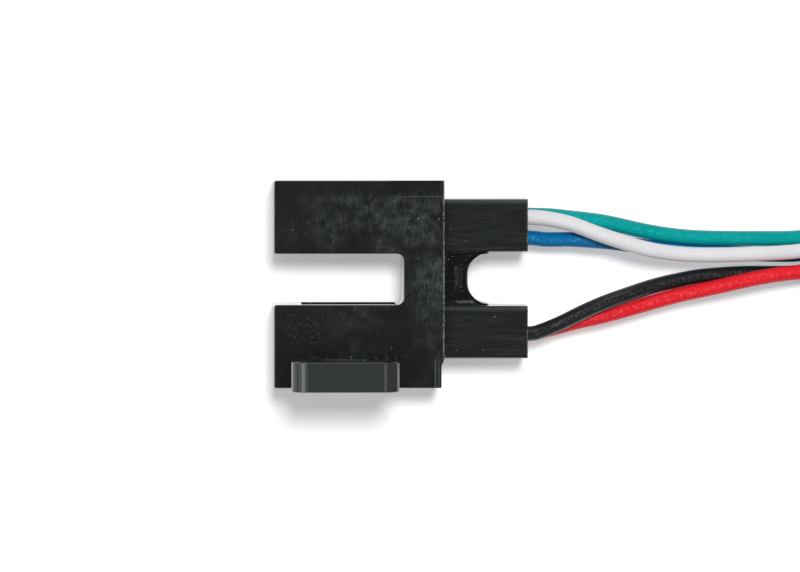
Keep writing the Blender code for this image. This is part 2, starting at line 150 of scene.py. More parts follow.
def eased(share):
    share = min(max(share, 0), 1)
    return (1 - math.cos(math.pi * share)) / 2


def hank_line():
    """Points along the middle of the bundle, from where it joins the hank to its free end."""
    points = []
    run = FAR_X - NEAR_X
    steps = STRETCH_STEPS
    for turn, (column, layer) in enumerate(TURNS):
        bend, z = INNER_BEND + column * TURN_PITCH, FIRST_Z + layer * TURN_PITCH
        points += [Vector((NEAR_X + run * i / steps, HANK_Y + bend, z)) for i in range(steps)]
        for i in range(steps):
            angle = math.pi / 2 - math.pi * i / steps
            points.append(Vector((FAR_X + bend * math.cos(angle), HANK_Y + bend * math.sin(angle), z)))
        if turn == len(TURNS) - 1:
            break
        next_column, next_layer = TURNS[turn + 1]
        wait = (len(TURNS) - 2 - turn) * CHANGE_LAG
        for i in range(steps):
            along = run * i / steps
            share = eased((along - CHANGE_START) / CHANGE_LENGTH - wait)
            bend = INNER_BEND + (column + (next_column - column) * share) * TURN_PITCH
            z = FIRST_Z + (layer + (next_layer - layer) * share) * TURN_PITCH
            points.append(Vector((FAR_X - along, HANK_Y - bend, z)))
        bend, z = INNER_BEND + next_column * TURN_PITCH, FIRST_Z + next_layer * TURN_PITCH
        for i in range(steps):
            angle = -math.pi / 2 - math.pi * i / steps
            points.append(Vector((NEAR_X + bend * math.cos(angle), HANK_Y + bend * math.sin(angle), z)))
    return points + [Vector((FAR_X - step * MM, HANK_Y - INNER_BEND, z)) for step in range(TUCKED_STEPS)]


bundle_middle = smooth_line(hank_line(), 0.5 * MM)
print("bundle", round(line_length(bundle_middle) * 1000), "mm in the hank")

# %% [markdown]
# Inside the bundle the five wires stand round a pentagon, each touching its neighbours, and the
# pentagon turns slowly along the way. The upright and the sideways direction of the bundle come from
# its own heading, so a wire never jumps from one place to another.

# %% Five wires in one twist
CLEARANCE = 1.003  # keeps wires that touch from cutting into each other
PENTAGON_RADIUS = WIRE_DIAMETER / 2 / math.sin(math.pi / 5) * CLEARANCE
TWIST_PITCH = 20 * MM
TWIST_EASE = 5 * MM  # the twist sets in over this length
KEPT_POINTS = 3  # a wire keeps each third point of the bundle's line


def strand(phase):
    """One wire's line in the twisted bundle, from a start angle in degrees."""
    found, travelled, last = [], 0.0, bundle_middle[0]
    for before, here, after in zip(bundle_middle, bundle_middle[1:], bundle_middle[2:]):
        travelled += (here - last).length
        last = here
        heading = (after - before).normalized()
        side = Vector((0, 0, 1)).cross(heading).normalized()
        up = heading.cross(side)
        eased_in = travelled - TWIST_EASE * (1 - math.exp(-travelled / TWIST_EASE))
        angle = math.radians(phase) + 2 * math.pi * eased_in / TWIST_PITCH
        found.append(here + PENTAGON_RADIUS * (math.cos(angle) * side + math.sin(angle) * up))
    return found[::KEPT_POINTS]


print("a wire's middle stands", round(PENTAGON_RADIUS * 1000, 3), "mm from the bundle's middle")

# %% [markdown]
# Each wire's free run is given by a few points on its middle line, read off where it crosses the
# picture. The heights make the wires cross over and under each other as they do there, and lift them a
# little, so that they throw a shadow. The number before the points is the wire's place in the pentagon.

# %% The route of each wire, in metres, from inside its shell
JACKET_START = 4.955 * MM
EXIT_X = 7.755 * MM  # the back face of the potting
ROUTES = {
    "blue_wire": (-90, (
        (0.007905, 0.002815, 0.002643), (0.00921, 0.00270, 0.00263), (0.01080, 0.00270, 0.00283),
        (0.01274, 0.00258, 0.00314), (0.01415, 0.00242, 0.00324), (0.01595, 0.00220, 0.00275),
        (0.01849, 0.00195, 0.00248), (0.02228, 0.00178, 0.00252), (0.02545, 0.00177, 0.00178),
        (0.02770, 0.00235, 0.00166))),
    "green_wire": (-18, (
        (0.007905, 0.004226, 0.002549), (0.00921, 0.00420, 0.00256), (0.01017, 0.00412, 0.00269),
        (0.01274, 0.00381, 0.00314), (0.01531, 0.00325, 0.00305), (0.01722, 0.00294, 0.00285),
        (0.01912, 0.00280, 0.00284), (0.02228, 0.00276, 0.00263), (0.02544, 0.00282, 0.00179),
        (0.02840, 0.00350, 0.00180))),
    "white_wire": (54, (
        (0.007905, 0.004135, 0.003801), (0.00933, 0.00400, 0.00389), (0.01072, 0.00369, 0.00419),
        (0.01264, 0.00299, 0.00460), (0.01521, 0.00219, 0.00440), (0.01714, 0.00187, 0.00395),
        (0.01904, 0.00176, 0.00382), (0.02220, 0.00181, 0.00361), (0.02535, 0.00199, 0.00278),
        (0.02780, 0.00262, 0.00296))),
    "red_wire": (126, (
        (0.007905, -0.003241, 0.002549), (0.00948, -0.00292, 0.00250), (0.01114, -0.00247, 0.00270),
        (0.01275, -0.00210, 0.00300), (0.01437, -0.00166, 0.00304), (0.01596, -0.00121, 0.00290),
        (0.01754, -0.00079, 0.00295), (0.01912, -0.00044, 0.00312), (0.02036, -0.00016, 0.00340),
        (0.02159, 0.00013, 0.00358), (0.02284, 0.00037, 0.00345), (0.02409, 0.00055, 0.00312),
        (0.02536, 0.00068, 0.00281), (0.02690, 0.00103, 0.00274))),
    "black_wire": (-162, (
        (0.007905, -0.003175, 0.003801), (0.00883, -0.00300, 0.00378), (0.01010, -0.00248, 0.00381),
        (0.01139, -0.00184, 0.00393), (0.01268, -0.00127, 0.00397), (0.01432, -0.00070, 0.00365),
        (0.01594, -0.00021, 0.00304), (0.01754, 0.00015, 0.00265), (0.01912, 0.00041, 0.00262),
        (0.02165, 0.00057, 0.00258), (0.02482, 0.00058, 0.00194), (0.02690, 0.00088, 0.00169))),
}


ROUTE_STEP = 0.3 * MM


def wire_line(phase, route):
    """A wire's whole middle line: its free run, a joining bend and its place in the hank."""
    start = [Vector((JACKET_START, *route[0][1:]))] + [Vector(point) for point in route]
    wound = strand(phase)
    seen = smooth_line(start + [wound[0], wound[4]], ROUTE_STEP)
    joined = [point for point in seen if point.x < wound[0].x]
    line = joined + wound
    spare = line_length(line) - (EXIT_X - JACKET_START) - WIRE_LENGTH
    while spare > 0:
        spare -= (line[-1] - line[-2]).length
        line.pop()
    return line


lines = {name: wire_line(*facts) for name, facts in ROUTES.items()}
for name, line in lines.items():
    print(name, round(line_length(line) * 1000), "mm,", len(line), "points")


# %% Draw the wires as round curves
def round_wire(name, points, diameter, sides=20):
    """A tube along the points. Their radius is the wire's own, for it also widens the bound box."""
    curve = bpy.data.curves.new(name, "CURVE")
    curve.dimensions = "3D"
    curve.bevel_depth = 1
    curve.bevel_resolution = sides // 2 - 2
    curve.use_fill_caps = True
    spline = curve.splines.new("POLY")
    spline.points.add(len(points) - 1)
    spline.points.foreach_set("co", [value for point in points for value in (*point, 1)])
    spline.points.foreach_set("radius", [diameter / 2] * len(points))
    piece = bpy.data.objects.new(name, curve)
    bpy.context.scene.collection.objects.link(piece)
    return piece


wires = {}
for name, line in lines.items():
    wire = round_wire(name.replace("_wire", "_lead_wire"), line, WIRE_DIAMETER)
    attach(wire, "root")
    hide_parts(name, "wire_hank")
    wires[name] = wire
print("drew", len(wires), "wires")

# %% [markdown]
# The far ends are cut square and stripped for 6 mm. The strands are twisted and dipped in solder, so
# the bare end is a short rope with a soft, silvery skin. Six strands show round the middle one, so it is
# built by turning a six-lobed outline while it moves along the end of the wire.

# %% Bare tinned ends
BARE_LENGTH = 6 * MM
STRAND_RADIUS = 0.08 * MM
END_STEPS, END_CORNERS = 30, 42
END_TURN = 5  # radians that the rope turns along the bare end
TIP_SHARE = 0.07  # the last part, which the solder rounds off
END_OVERLAP = 0.05 * MM


def tinned_end(name, line):
    """A short twisted end, in line with the last stretch of the wire."""
    heading = (line[-1] - line[-4]).normalized()
    side = Vector((0, 0, 1)).cross(heading).normalized()
    up = heading.cross(side)
    form = bmesh.new()
    rings = []
    for step in range(END_STEPS + 1):
        share = step / END_STEPS
        centre = line[-1] + heading * (share * BARE_LENGTH - END_OVERLAP)
        taper = 1 - 0.5 * max(0, share - 1 + TIP_SHARE) / TIP_SHARE
        ring = []
        for corner in range(END_CORNERS):
            angle = 2 * math.pi * corner / END_CORNERS
            lobes = abs(math.cos(3 * angle))
            radius = STRAND_RADIUS * (2.2 + 0.65 * lobes) * taper
            turn = angle + END_TURN * share
            ring.append(form.verts.new(centre + radius * (math.cos(turn) * side + math.sin(turn) * up)))
        rings.append(ring)
    for ring, following in zip(rings, rings[1:]):
        for corner in range(END_CORNERS):
            after = (corner + 1) % END_CORNERS
            form.faces.new((ring[corner], ring[after], following[after], following[corner]))
    form.faces.new(reversed(rings[0]))
    form.faces.new(rings[-1])
    bmesh.ops.recalc_face_normals(form, faces=form.faces)
    mesh = bpy.data.meshes.new(name)
    form.to_mesh(mesh)
    form.free()
    mesh.shade_smooth()
    piece = bpy.data.objects.new(name, mesh)
    bpy.context.scene.collection.objects.link(piece)
    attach(piece, "root")
    return piece


ends = {name: tinned_end(name.replace("_wire", "_tinned_end"), line) for name, line in lines.items()}
print("each bare end is", round(BARE_LENGTH * 1000), "mm long")

# %% Count the wires that hang loose
print("declared", len(wires), "cords")

# %% [markdown]
# The tie is an ordinary nylon one: a flat band round the winding, a head on top with the locking pawl
# inside, and the cut tail that stands out of the head.

# %% The tie
TIE_LOW, TIE_HIGH = (Vector(corner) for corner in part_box("hank_tie"))
TIE_THICKNESS = 0.26 * MM
TIE_CORNER = 1.5 * MM
CORNER_STEPS = 8
HEAD_SIZE = Vector((4.0, 4.6, 2.4)) * MM
TAIL_SIZE = Vector((2.4, 4.5, 0.5)) * MM


def block(form, size, middle, rounding):
    """Adds a block with rounded edges to a mesh that is being built."""
    place = Matrix.Translation(middle) @ Matrix.Diagonal((*size, 1))
    made = bmesh.ops.create_cube(form, size=1, matrix=place)
    edges = {edge for vertex in made["verts"] for edge in vertex.link_edges}
    bmesh.ops.bevel(form, geom=list(edges), offset=rounding, segments=3, profile=0.5, affect="EDGES")


def band_ring(inset):
    """Points of a rounded rectangle across the winding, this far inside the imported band."""
    low, high, radius = TIE_LOW.yz, TIE_HIGH.yz, TIE_CORNER - inset
    corners = ((high.x, high.y, 0), (low.x, high.y, 90), (low.x, low.y, 180), (high.x, low.y, 270))
    points = []
    for y, z, start in corners:
        centre_y = y - math.copysign(TIE_CORNER, y - (low.x + high.x) / 2)
        centre_z = z - math.copysign(TIE_CORNER, z - (low.y + high.y) / 2)
        for step in range(CORNER_STEPS + 1):
            angle = math.radians(start + 90 * step / CORNER_STEPS)
            points.append((centre_y + radius * math.cos(angle), centre_z + radius * math.sin(angle)))
    return points


form = bmesh.new()
outer, inner = band_ring(0), band_ring(TIE_THICKNESS)
loops = [[form.verts.new((x, *point)) for point in ring]
         for x, ring in ((TIE_LOW.x, outer), (TIE_HIGH.x, outer), (TIE_HIGH.x, inner), (TIE_LOW.x, inner))]
for loop, following in zip(loops, loops[1:] + loops[:1]):
    for i in range(len(loop)):
        j = (i + 1) % len(loop)
        form.faces.new((loop[i], loop[j], following[j], following[i]))
tie_middle = (TIE_LOW + TIE_HIGH) / 2
block(form, HEAD_SIZE, Vector((tie_middle.x, tie_middle.y, TIE_HIGH.z + 0.4 * HEAD_SIZE.z)), 0.4 * MM)
block(form, TAIL_SIZE, Vector((tie_middle.x, tie_middle.y + (HEAD_SIZE.y + TAIL_SIZE.y) / 2 - 0.5 * MM,
                               TIE_HIGH.z + 0.5 * HEAD_SIZE.z)), 0.1 * MM)
bmesh.ops.recalc_face_normals(form, faces=form.faces)
tie_mesh = bpy.data.meshes.new("nylon_tie")
form.to_mesh(tie_mesh)
form.free()
tie_mesh.shade_smooth()
tie_mesh.set_sharp_from_angle(angle=math.radians(40))
tie = bpy.data.objects.new("nylon_tie", tie_mesh)
bpy.context.scene.collection.objects.link(tie)
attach(tie, "root")
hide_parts("hank_tie")
print("the tie has", len(tie_mesh.polygons), "faces")

# %% [markdown]
# ## The bead of epoxy
#
# Black epoxy is run in between the two shells and sets as it flowed: it climbs the walls that it
# wets, its free edge is round, and it leaves a round notch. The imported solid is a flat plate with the
# right outline. Here the same outline is lofted from rows of points, so that the top can rise and sink.

# %% Loft the bead
BEAD_LIP = 0.1 * MM
BEAD_NOTCH = 1.3 * MM
BEAD_NOSE = 0.38 * MM
BEAD_SECTIONS = 48
TOP_STEPS, NOSE_STEPS = 12, 8
SHELL_CLIMB, SHELL_FADE = 0.30, 0.28 * MM  # it wets the shells this high, in mm, and fades over this
BACK_CLIMB, BACK_FADE = 0.26, 0.32 * MM  # and the fork's back this high
SAG = 0.05


def bead_section(share):
    """Points of the bead's upright section, at this share of the way across, from -1 to 1."""
    low, high = (Vector(corner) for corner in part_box("epoxy_bead"))
    half, middle_z = (high.y - low.y) / 2, (low.z + high.z) / 2
    across = share * half
    flat = half - BEAD_LIP - BEAD_NOTCH
    reach = high.x - BEAD_NOTCH
    if abs(across) > flat:
        reach = high.x - math.sqrt(max(BEAD_NOTCH ** 2 - (abs(across) - flat) ** 2, 0))
    width = reach - low.x
    nose = min(BEAD_NOSE, 0.49 * width)
    points = []
    for step in range(TOP_STEPS + 1):
        along = (width - nose) * step / TOP_STEPS
        points.append((low.x + along, 1))
    for step in range(1, NOSE_STEPS + 1):
        angle = math.pi / 2 * step / NOSE_STEPS
        points.append((reach - nose + nose * math.sin(angle), math.cos(angle)))
    wetting = SHELL_CLIMB * math.exp(-(half - abs(across)) / SHELL_FADE)
    found = []
    for x, share_up in points:
        rise = wetting + BACK_CLIMB * math.exp(-(x - low.x) / BACK_FADE) - SAG
        top = (high.z - middle_z) + rise * MM - BEAD_NOSE * (1 - share_up)
        found.append(Vector((x, (low.y + high.y) / 2 + across, top)))
    upper = [Vector((p.x, p.y, middle_z + p.z)) for p in found]
    lower = [Vector((p.x, p.y, middle_z - p.z)) for p in reversed(found)]
    return upper + lower


shares = [math.sin(math.pi / 2 * (2 * i / BEAD_SECTIONS - 1)) for i in range(BEAD_SECTIONS + 1)]
sections = [bead_section(share) for share in shares]
form = bmesh.new()
rows = [[form.verts.new(point) for point in section] for section in sections]
for row, following in zip(rows, rows[1:]):
    for i in range(len(row)):
        j = (i + 1) % len(row)
        form.faces.new((row[i], row[j], following[j], following[i]))
form.faces.new(rows[0])
form.faces.new(reversed(rows[-1]))
bmesh.ops.recalc_face_normals(form, faces=form.faces)
bead_mesh = bpy.data.meshes.new("poured_bead")
form.to_mesh(bead_mesh)
form.free()
bead_mesh.shade_smooth()
bead_mesh.set_sharp_from_angle(angle=math.radians(50))
bead = bpy.data.objects.new("poured_bead", bead_mesh)
bpy.context.scene.collection.objects.link(bead)
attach(bead, "root")
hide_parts("epoxy_bead")
print("the bead has", len(bead_mesh.polygons), "faces")

# %% [markdown]
# ## Colour and nodes
#
# Colours are written as sRGB hex, the way a picture editor shows them, and turned to linear values by
# one function. One more function adds a shader node with its settings, its values and its links.

# %% Helpers for materials
MATH, RANGE, MIX, NOISE = "ShaderNodeMath", "ShaderNodeMapRange", "ShaderNodeMix", "ShaderNodeTexNoise"


def linear(code):
    """Turns a colour such as #80ff00 to the linear values that a shader wants."""
    values = [int(code[i:i + 2], 16) / 255 for i in (1, 3, 5)]
    return (*((v / 12.92 if v <= 0.04045 else ((v + 0.055) / 1.055) ** 2.4) for v in values), 1)


def add_node(tree, kind, inputs=None, **settings):
    """Adds a node. An input takes a plain value, the output that feeds it, or a node for its first one."""
    node = tree.nodes.new(kind)
    for name, value in settings.items():
        setattr(node, name, value)
    for name, value in (inputs or {}).items():
        if isinstance(value, bpy.types.Node):
            value = next(output for output in value.outputs if output.enabled)
        if isinstance(value, bpy.types.NodeSocket):
            tree.links.new(value, node.inputs[name])
        else:
            node.inputs[name].default_value = value
    return node


def new_material(name, colour, roughness, ior=1.5, metallic=0.0):
    """A material with its shader set to plain values, and its node tree and shader for what follows."""
    material = bpy.data.materials.new(name)
    material.use_nodes = True
    tree = material.node_tree
    shader = tree.nodes["Principled BSDF"]
    shader.inputs["Base Color"].default_value = linear(colour)
    shader.inputs["Roughness"].default_value = roughness
    shader.inputs["Metallic"].default_value = metallic
    if not metallic:
        shader.inputs["IOR"].default_value = ior
    return material, tree, shader


def wear(tree, shader, socket, node):
    """Feeds a shader's socket from a node's first output that is in use."""
    tree.links.new(next(output for output in node.outputs if output.enabled), shader.inputs[socket])


def per_mm(size):
    """A texture scale, for features of this size in millimetres, when coordinates are in metres."""
    return 1000 / size


print("mid grey #808080 is", round(linear("#808080")[0], 3), "in linear light")

# %% [markdown]
# Three marks come back in several finishes: small dots, a soft band along one axis, and the upright
# faces, where moulded skin was drawn off polished steel. A dot is a slice through a cell pattern.

# %% Marks that several finishes share
def dots(tree, place, cell, radius, share):
    """Small dots, with a paleness for each. The cell is in mm, the radius and the share in cells."""
    cells = add_node(tree, "ShaderNodeTexVoronoi", {"Vector": place, "Scale": per_mm(cell)})
    chosen = add_node(tree, "ShaderNodeSeparateColor", {"Color": cells.outputs["Color"]})
    close = add_node(tree, MATH, {0: cells.outputs["Distance"], 1: radius}, operation="LESS_THAN")
    rare = add_node(tree, MATH, {0: chosen.outputs["Red"], 1: 1 - share}, operation="GREATER_THAN")
    shown = add_node(tree, MATH, {0: close, 1: rare}, operation="MULTIPLY")
    return add_node(tree, MATH, {0: shown, 1: chosen.outputs["Green"]}, operation="MULTIPLY")


def soft_band(tree, value, middle, half_width):
    """1 where the value is within half a width of the middle, and 0 beyond twice that."""
    off = add_node(tree, MATH, {0: value, 1: middle}, operation="SUBTRACT")
    off = add_node(tree, MATH, {0: off}, operation="ABSOLUTE")
    return add_node(tree, RANGE, {
        "Value": off, "From Min": half_width, "From Max": 2 * half_width, "To Min": 1, "To Max": 0})


def upright_faces(tree):
    """1 on faces that stand upright, 0 on those that lie flat."""
    normal = add_node(tree, "ShaderNodeNewGeometry").outputs["Normal"]
    steep = add_node(tree, "ShaderNodeSeparateXYZ", {"Vector": normal}).outputs["Z"]
    steep = add_node(tree, MATH, {0: steep}, operation="ABSOLUTE")
    return add_node(tree, RANGE, {"Value": steep, "From Min": 0.30, "From Max": 0.05})


print("a 0.1 mm pattern needs a scale of", round(per_mm(0.1)))

# %% [markdown]
# ## Black moulded plastic
#
# The fork is black polycarbonate with glass fibre, moulded against a fine, dull tool. It is a little
# blue in the light. Handling has left soft streaks where the skin is scuffed, and there the black turns
# to a bluish grey. Streaks are noise, stretched along Y and turned 17 degrees, 0.12 mm wide. They lie in
# patches of a few millimetres, with clouds of 0.5 mm between them, and there are more towards the back.

# %% Where the fork is scuffed
BACK_X = 2.695 * MM
ARMS_TOP = 6.35 * MM
LUG_X = -3.625 * MM
BAND_TOP_Y = 5.275 * MM  # here the sensor arm's outer wall begins
BAND_BOTTOM_Y = -4.645 * MM  # and here the lug's
STREAK_LEAN = 17  # degrees

housing_plastic, tree, shader = new_material("polycarbonate_scuffed", "#0e1112", 0.42, ior=1.5)
place = add_node(tree, "ShaderNodeTexCoord").outputs["Object"]
x, y, z = add_node(tree, "ShaderNodeSeparateXYZ", {"Vector": place}).outputs

patches = add_node(tree, NOISE, {"Vector": place, "Scale": per_mm(2.4), "Detail": 2, "Roughness": 0.6})
patches = add_node(tree, RANGE, {"Value": patches, "From Min": 0.38, "From Max": 0.62})
rubbed_x = soft_band(tree, x, 1.15 * MM, 0.75 * MM)  # the crossbar's upper part is rubbed most
rubbed_y = soft_band(tree, y, 3.1 * MM, 0.55 * MM)
scuff_and_highlight = add_node(tree, MATH, {0: rubbed_x, 1: rubbed_y}, operation="MULTIPLY")
scuff_and_highlight = add_node(tree, MATH, {0: scuff_and_highlight, 1: 0.75}, operation="MULTIPLY")
patches = add_node(tree, MATH, {0: patches, 1: scuff_and_highlight}, operation="MAXIMUM")

slanted = add_node(tree, MATH, {0: y, 1: 0.45, 2: x}, operation="MULTIPLY_ADD")
to_back = add_node(tree, RANGE, {
    "Value": slanted, "From Min": BACK_X - 9.5 * MM, "From Max": BACK_X - 0.5 * MM,
    "To Min": 0.10, "To Max": 0.92})
below_top_band = add_node(tree, RANGE, {
    "Value": y, "From Min": BAND_TOP_Y + 0.5 * MM, "From Max": BAND_TOP_Y, "To Min": 0.25, "To Max": 1})
above_low_band = add_node(tree, RANGE, {
    "Value": y, "From Min": BAND_BOTTOM_Y - 0.3 * MM, "From Max": BAND_BOTTOM_Y + 0.5 * MM,
    "To Min": 0.35, "To Max": 1})
for mask in (below_top_band, above_low_band, patches):
    to_back = add_node(tree, MATH, {0: to_back, 1: mask}, operation="MULTIPLY")
print("scuffs begin", round((BACK_X - 9.5 * MM) * 1000, 1), "mm along X")

# %% Streaks, clouds and grain
turned = add_node(tree, "ShaderNodeMapping", {
    "Vector": place, "Rotation": (0, 0, math.radians(STREAK_LEAN)), "Scale": (1, 0.22, 0.22)})
streaks = add_node(tree, NOISE, {"Vector": turned, "Scale": per_mm(0.12), "Detail": 4, "Roughness": 0.7})
streaks = add_node(tree, RANGE, {
    "Value": streaks, "From Min": 0.46, "From Max": 0.78, "To Min": 0, "To Max": 0.52})
clouds = add_node(tree, NOISE, {"Vector": place, "Scale": per_mm(0.5), "Detail": 4, "Roughness": 0.65})
clouds = add_node(tree, RANGE, {
    "Value": clouds, "From Min": 0.40, "From Max": 0.72, "To Min": 0, "To Max": 0.42})
marks = add_node(tree, MATH, {0: streaks, 1: clouds}, operation="ADD")
marks = add_node(tree, MATH, {0: marks, 1: to_back}, operation="MULTIPLY")
on_lug = add_node(tree, RANGE, {
    "Value": z, "From Min": ARMS_TOP + 0.05 * MM, "From Max": ARMS_TOP + 0.15 * MM})
off_lug = add_node(tree, MATH, {0: 1, 1: on_lug}, operation="SUBTRACT")
marks = add_node(tree, MATH, {0: marks, 1: off_lug}, operation="MULTIPLY")
grain = add_node(tree, NOISE, {"Vector": place, "Scale": per_mm(0.055), "Detail": 2, "Roughness": 0.7})
mottle = add_node(tree, RANGE, {
    "Value": grain, "From Min": 0.48, "From Max": 0.80, "To Min": 0, "To Max": 0.08})
lift = add_node(tree, MATH, {0: marks, 1: mottle}, operation="ADD")
print("grain of 0.055 mm is the finest that shows")

# %% [markdown]
# The lug is painted paler than the arms, as painted light where its edge faces the light, and its left
# corner carries a painted highlight. Then come the specks: a field of fine ones near the mouth of the
# lower arm, and motes of dust all over.

# %% The lug's painted paleness and highlight, specks and dust
# Painted light: the lug is lifted paler where its edge faces the light, and a painted highlight with
# speckled grain lies on its left corner.
lift = add_node(tree, MATH, {0: on_lug, 1: 0.22, 2: lift}, operation="MULTIPLY_ADD")
corner = soft_band(tree, x, LUG_X - 2.66 * MM, 0.2 * MM)
corner = add_node(tree, MATH, {0: corner, 1: on_lug}, operation="MULTIPLY")
speckle = add_node(tree, RANGE, {
    "Value": grain, "From Min": 0.30, "From Max": 0.62, "To Min": 0.21, "To Max": 0.42})
lift = add_node(tree, MATH, {0: corner, 1: speckle, 2: lift}, operation="MULTIPLY_ADD")
colour = add_node(tree, MIX, {
    "Factor": lift, 6: linear("#070a0a"), 7: linear("#5f6667")}, data_type="RGBA")

field_x, field_y = soft_band(tree, x, -6.0 * MM, 0.9 * MM), soft_band(tree, y, -2.7 * MM, 0.7 * MM)
specks = dots(tree, place, cell=0.10, radius=0.36, share=0.45)
for mask in (field_x, field_y, 0.8):
    specks = add_node(tree, MATH, {0: specks, 1: mask}, operation="MULTIPLY")
colour = add_node(tree, MIX, {"Factor": specks, 6: colour, 7: linear("#5c5f5c")}, data_type="RGBA")
MOTE_CELL, MOTE_RADIUS = 0.6, 0.06
motes = dots(tree, place, cell=MOTE_CELL, radius=MOTE_RADIUS, share=0.3)
colour = add_node(tree, MIX, {"Factor": motes, 6: colour, 7: linear("#a9aca2")}, data_type="RGBA")
print("motes of", round(2 * MOTE_RADIUS * MOTE_CELL, 3), "mm")

# %% [markdown]
# Pale lines are painted along some edges as highlights. The back edge carries a painted highlight in
# short lengths, a faint painted highlight line runs along the sensor's side, and two painted highlight
# lines run down the end of the lug's wall. Pale dust has settled where the lug's root meets the arm.

# %% Painted edge highlights and settled dust
top = add_node(tree, RANGE, {"Value": z, "From Min": ARMS_TOP - 0.2 * MM, "From Max": ARMS_TOP - 0.1 * MM})
chips = add_node(tree, NOISE, {"Vector": place, "Scale": per_mm(0.12), "Detail": 3, "Roughness": 0.7})
chips = add_node(tree, RANGE, {"Value": chips, "From Min": 0.42, "From Max": 0.62})
# Painted highlights: pale lines on the back edge, along the sensor's side and down the end of the lug's
# wall.
back_edge_highlight = soft_band(tree, x, BACK_X - 0.05 * MM, 0.04 * MM)
side_highlight_line = soft_band(tree, y, BAND_TOP_Y + 0.17 * MM, 0.02 * MM)
side_highlight_reach = add_node(tree, RANGE, {"Value": x, "From Min": BACK_X - 4 * MM, "From Max": BACK_X - 2 * MM})
end_highlight_lines = add_node(tree, MATH, {
    0: soft_band(tree, x, BACK_X - 0.36 * MM, 0.02 * MM),
    1: soft_band(tree, x, BACK_X - 0.58 * MM, 0.03 * MM)}, operation="ADD")
below_arm = add_node(tree, RANGE, {
    "Value": y, "From Min": BAND_BOTTOM_Y, "From Max": BAND_BOTTOM_Y - 0.1 * MM})
for masks in ((back_edge_highlight, top, chips, off_lug), (side_highlight_line, side_highlight_reach, 0.16, off_lug),
              (end_highlight_lines, below_arm, top, 0.25, off_lug)):
    painted_edge_highlight = masks[0]
    for mask in masks[1:]:
        painted_edge_highlight = add_node(tree, MATH, {0: painted_edge_highlight, 1: mask}, operation="MULTIPLY")
    colour = add_node(tree, MIX, {"Factor": painted_edge_highlight, 6: colour, 7: linear("#8d8f8a")}, data_type="RGBA")

dust = dots(tree, place, cell=0.12, radius=0.36, share=0.4)
root_y = soft_band(tree, y, BAND_BOTTOM_Y + 0.15 * MM, 0.04 * MM)
root_x = soft_band(tree, x, LUG_X, 2.2 * MM)
for mask in (root_y, root_x, off_lug, 0.5):
    dust = add_node(tree, MATH, {0: dust, 1: mask}, operation="MULTIPLY")
colour = add_node(tree, MIX, {"Factor": dust, 6: colour, 7: linear("#b4ae98")}, data_type="RGBA")
wear(tree, shader, "Base Color", colour)
print("the fork's colour takes", len(tree.nodes), "nodes")

# %% [markdown]
# Scuffed skin is duller than sound skin. The lug and all upright faces were drawn off polished steel,
# so they are smoother and take less of the grain.

# %% The fork's gloss and relief
upright = upright_faces(tree)
dull = add_node(tree, RANGE, {
    "Value": lift, "From Min": 0, "From Max": 0.6, "To Min": 0.29, "To Max": 0.55})
dull = add_node(tree, MIX, {"Factor": on_lug, 2: dull, 3: 0.16}, data_type="FLOAT")
dull = add_node(tree, MIX, {"Factor": upright, 2: dull, 3: 0.06}, data_type="FLOAT")
wear(tree, shader, "Roughness", dull)
polished = add_node(tree, MATH, {0: upright, 1: on_lug}, operation="MAXIMUM")
strength = add_node(tree, RANGE, {"Value": polished, "To Min": 0.35, "To Max": 0.05})
relief = add_node(tree, "ShaderNodeBump", {"Height": grain, "Strength": strength, "Distance": 0.01 * MM})
wear(tree, shader, "Normal", relief)
fork = bpy.data.objects["fork_housing"]
fork.material_slots[0].material = housing_plastic
print("the fork wears", housing_plastic.name)

# %% [markdown]
# The shells are the same resin, but drawn out of a long core, which has left fine lines along them.
# They are a bump and a change of tone, 0.14 mm apart, stretched along X. Their upper edges carry a
# painted highlight, a lighter band, and their sawn ends are worn to a brownish grey.

# %% Polycarbonate with drawn lines
TAIL_X = 7.905 * MM
SHELL_EDGE_HIGHLIGHTS_Y = (5.14 * MM, -1.51 * MM)  # a painted highlight lies along each shell's upper edge here

shell_plastic, tree, shader = new_material("polycarbonate_drawn", "#0e1112", 0.40, ior=1.5)
place = add_node(tree, "ShaderNodeTexCoord").outputs["Object"]
x, y, z = add_node(tree, "ShaderNodeSeparateXYZ", {"Vector": place}).outputs
along = add_node(tree, "ShaderNodeMapping", {"Vector": place, "Scale": (0.06, 1, 1)})
core_lines = add_node(tree, NOISE, {"Vector": along, "Scale": per_mm(0.14), "Detail": 3, "Roughness": 0.6})
grain = add_node(tree, NOISE, {"Vector": place, "Scale": per_mm(0.055), "Detail": 2, "Roughness": 0.7})
lines_tone = add_node(tree, RANGE, {
    "Value": core_lines, "From Min": 0.46, "From Max": 0.76, "To Min": 0, "To Max": 0.16})
grain_tone = add_node(tree, RANGE, {
    "Value": grain, "From Min": 0.42, "From Max": 0.8, "To Min": 0, "To Max": 0.15})
lift = add_node(tree, MATH, {0: lines_tone, 1: grain_tone}, operation="ADD")
